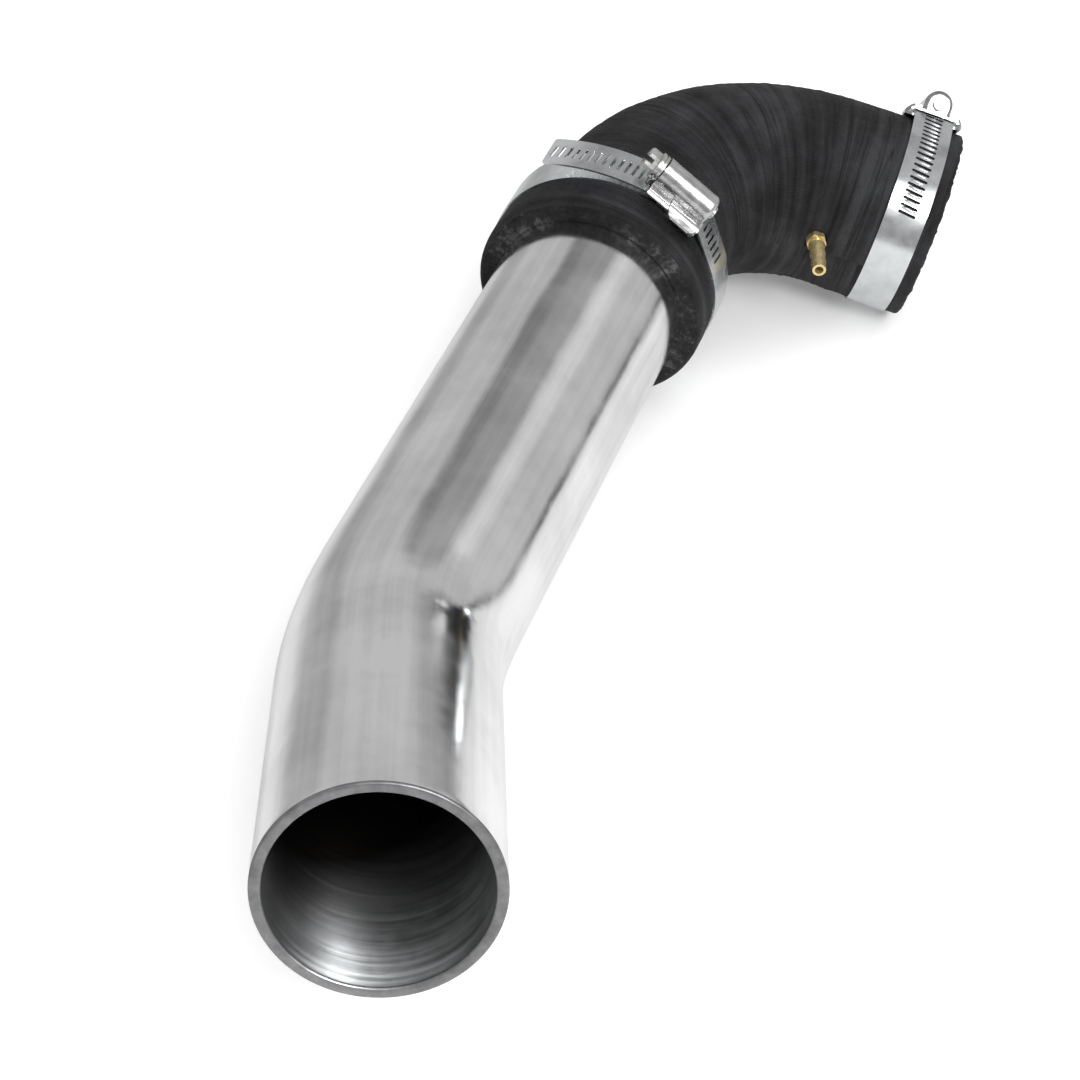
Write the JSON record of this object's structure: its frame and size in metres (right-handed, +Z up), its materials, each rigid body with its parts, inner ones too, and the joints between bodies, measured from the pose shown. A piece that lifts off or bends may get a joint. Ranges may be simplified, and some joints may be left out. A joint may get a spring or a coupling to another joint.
{
  "type": "car air intake duct",
  "caption": "Bent aluminium air intake pipe clamped into a thick rubber elbow with a small brass hose port.",
  "frame": {"origin": "middle of the underside of the part's box, on the surface that it lies on", "axes": "+Y from the pipe's inlet towards the elbow, level with the floor and over the inlet run; +X towards the elbow's outlet; +Z up, as the part lies at rest"},
  "size_m": [0.2208, 0.3976, 0.0966],
  "materials": {
    "pipe_aluminium": "polished, with fine lengthwise brushing",
    "hose_rubber": "matt rubber with a wrapped cloth texture",
    "port_brass": "turned brass",
    "band_steel": "rolled stainless strip",
    "housing_steel": "pressed stainless sheet",
    "screw_steel": "zinc plated"
  },
  "bodies": {
    "duct": {"intake_pipe": "pipe_aluminium", "elbow_hose": "hose_rubber", "port_fitting": "port_brass", "port_washer": "port_brass", "port_nut": "port_brass", "pipe_clamp_band": "band_steel", "pipe_clamp_saddle": "housing_steel", "pipe_clamp_housing": "housing_steel", "outlet_clamp_band": "band_steel", "outlet_clamp_saddle": "housing_steel", "outlet_clamp_housing": "housing_steel"},
    "pipe_clamp_screw": {"pipe_clamp_screw": "screw_steel"},
    "outlet_clamp_screw": {"outlet_clamp_screw": "screw_steel"}
  },
  "joints": [
    {"name": "pipe_clamp_screw_turn", "type": "hinge", "parent": "duct", "child": "pipe_clamp_screw", "pos_m": [0.00384, 0.09375, 0.08013], "axis": [-0.8429, 0.2744, 0.4629], "continuous": true},
    {"name": "outlet_clamp_screw_turn", "type": "hinge", "parent": "duct", "child": "outlet_clamp_screw", "pos_m": [0.09938, 0.18316, 0.06451], "axis": [0.0959, 0.7463, -0.6587], "continuous": true}
  ]
}
